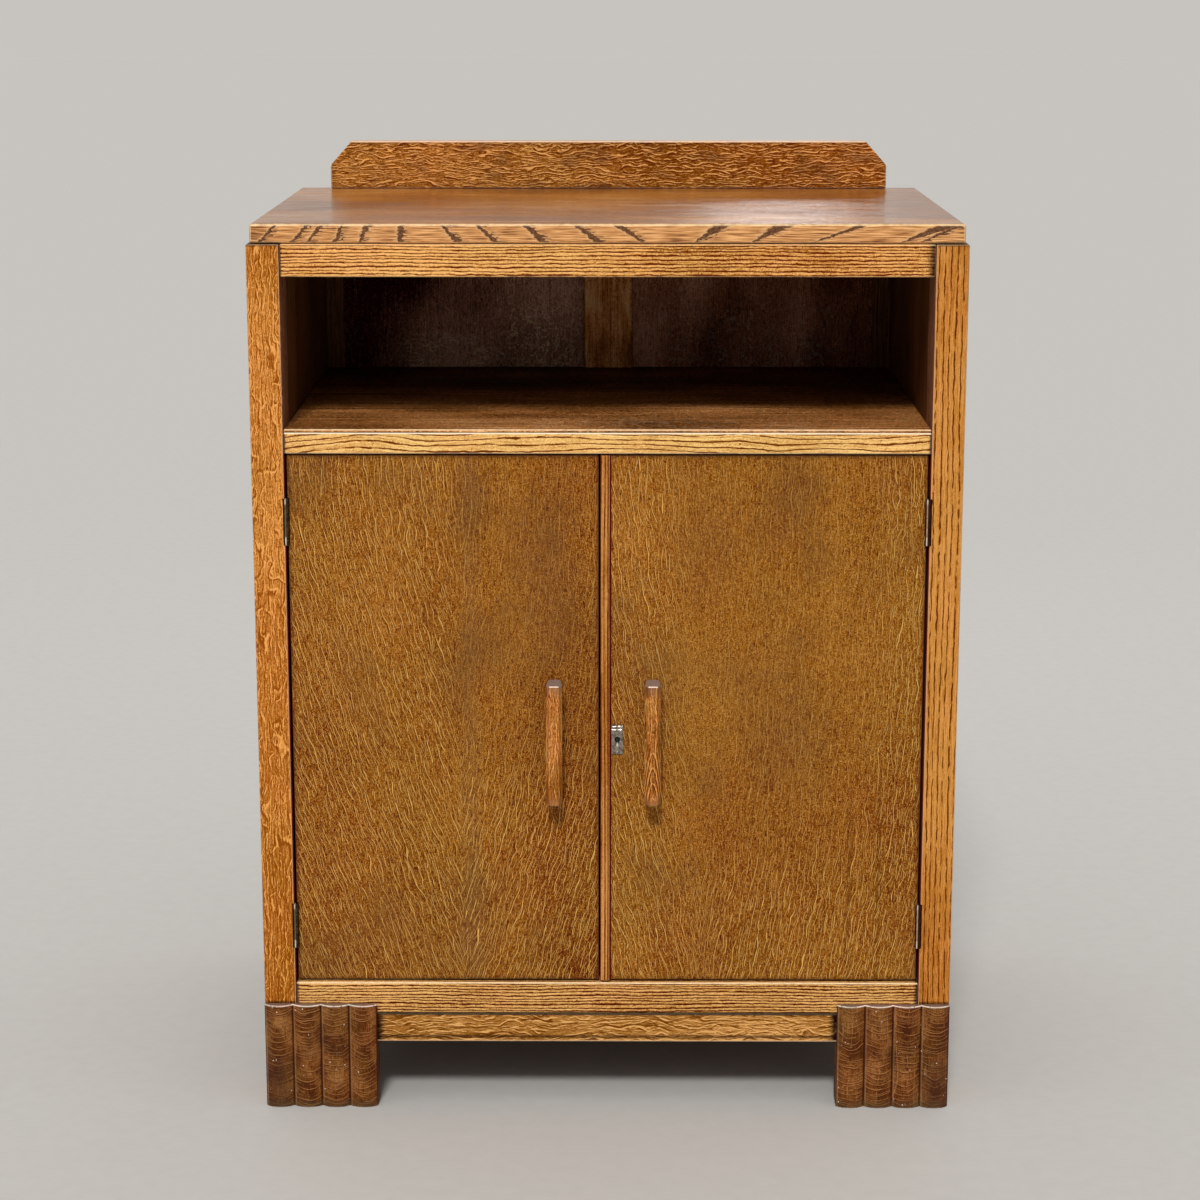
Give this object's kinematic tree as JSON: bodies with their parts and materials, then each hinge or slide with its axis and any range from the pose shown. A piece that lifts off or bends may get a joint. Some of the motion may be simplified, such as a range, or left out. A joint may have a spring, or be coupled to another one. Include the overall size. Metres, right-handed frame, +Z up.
{
  "type": "tallboy",
  "caption": "Oak tallboy cabinet: open compartment over a cupboard with inset hinged doors, lock and bar handles, flat top with a low gallery board, reeded front feet.",
  "frame": {"origin": "on the floor, under the middle of the whole cabinet, handles included", "axes": "+Z up, +X to the right of someone who faces the doors, -Y out of the front"},
  "size_m": [0.762, 0.535, 1.0418],
  "materials": {
    "oak_post": "waxed oak, orange brown",
    "oak_rail": "waxed oak, golden",
    "oak_top": "polished oak, worn to a soft gloss",
    "oak_door": "stained quarter-sawn oak veneer",
    "oak_handle": "waxed oak, worn",
    "oak_foot": "dark stained oak",
    "oak_inside": "dark stain, dull",
    "oak_plain": "bare secondary wood",
    "hinge_steel": "aged steel",
    "lock_nickel": "worn nickel",
    "lock_brass": "dull brass"
  },
  "bodies": {
    "carcass": {"front_post_left": "oak_post", "front_post_right": "oak_post", "rear_post_left": "oak_post", "rear_post_right": "oak_post", "top_rail": "oak_rail", "shelf_rail": "oak_rail", "bottom_rail": "oak_rail", "apron_rail": "oak_rail", "side_top_rail_left": "oak_post", "side_top_rail_right": "oak_post", "side_bottom_rail_left": "oak_post", "side_bottom_rail_right": "oak_post", "side_panel_left": "oak_inside", "side_panel_right": "oak_inside", "rear_top_rail": "oak_plain", "rear_bottom_rail": "oak_plain", "back_muntin": "oak_inside", "back_panel_left": "oak_inside", "back_panel_right": "oak_inside", "top_board": "oak_top", "gallery_board": "oak_top", "compartment_shelf": "oak_inside", "cupboard_floor": "oak_inside", "cupboard_shelf": "oak_inside", "compartment_bearer_left": "oak_plain", "compartment_bearer_right": "oak_plain", "cupboard_shelf_bearer_left": "oak_plain", "cupboard_shelf_bearer_right": "oak_plain", "floor_bearer_left": "oak_plain", "floor_bearer_right": "oak_plain", "door_stop_strip": "oak_plain", "reeded_foot_left": "oak_foot", "reeded_foot_right": "oak_foot", "foot_block_left": "oak_foot", "foot_block_right": "oak_foot", "hinge_frame_leaf_upper_left": "hinge_steel", "hinge_frame_leaf_upper_right": "hinge_steel", "hinge_frame_leaf_lower_left": "hinge_steel", "hinge_frame_leaf_lower_right": "hinge_steel", "hinge_pin_upper_left": "hinge_steel", "hinge_pin_upper_right": "hinge_steel", "hinge_pin_lower_left": "hinge_steel", "hinge_pin_lower_right": "hinge_steel", "bolt_keeper": "lock_brass"},
    "left_door": {"door_left": "oak_door", "handle_left": "oak_handle", "hinge_door_leaf_upper_left": "hinge_steel", "hinge_door_leaf_lower_left": "hinge_steel", "strike_plate": "lock_brass", "bolt_plate": "lock_brass"},
    "right_door": {"door_right": "oak_door", "cover_bead": "oak_rail", "handle_right": "oak_handle", "hinge_door_leaf_upper_right": "hinge_steel", "hinge_door_leaf_lower_right": "hinge_steel", "lock_plate": "lock_nickel", "lock_case": "lock_brass"},
    "lock_bolt": {"lock_bolt": "lock_brass"},
    "door_bolt": {"door_bolt": "lock_brass"}
  },
  "joints": [
    {"name": "left_door_hinge", "type": "hinge", "parent": "carcass", "child": "left_door", "pos_m": [-0.34475, -0.238, 0.443], "axis": [0, 0, -1], "range_deg": [0, 150]},
    {"name": "right_door_hinge", "type": "hinge", "parent": "carcass", "child": "right_door", "pos_m": [0.34475, -0.238, 0.443], "axis": [0, 0, 1], "range_deg": [0, 150]},
    {"name": "lock_bolt_slide", "type": "slide", "parent": "right_door", "child": "lock_bolt", "axis": [-1, 0, 0], "range_m": [0, 0.008]},
    {"name": "door_bolt_slide", "type": "slide", "parent": "left_door", "child": "door_bolt", "axis": [0, 0, 1], "range_m": [0, 0.012]}
  ]
}
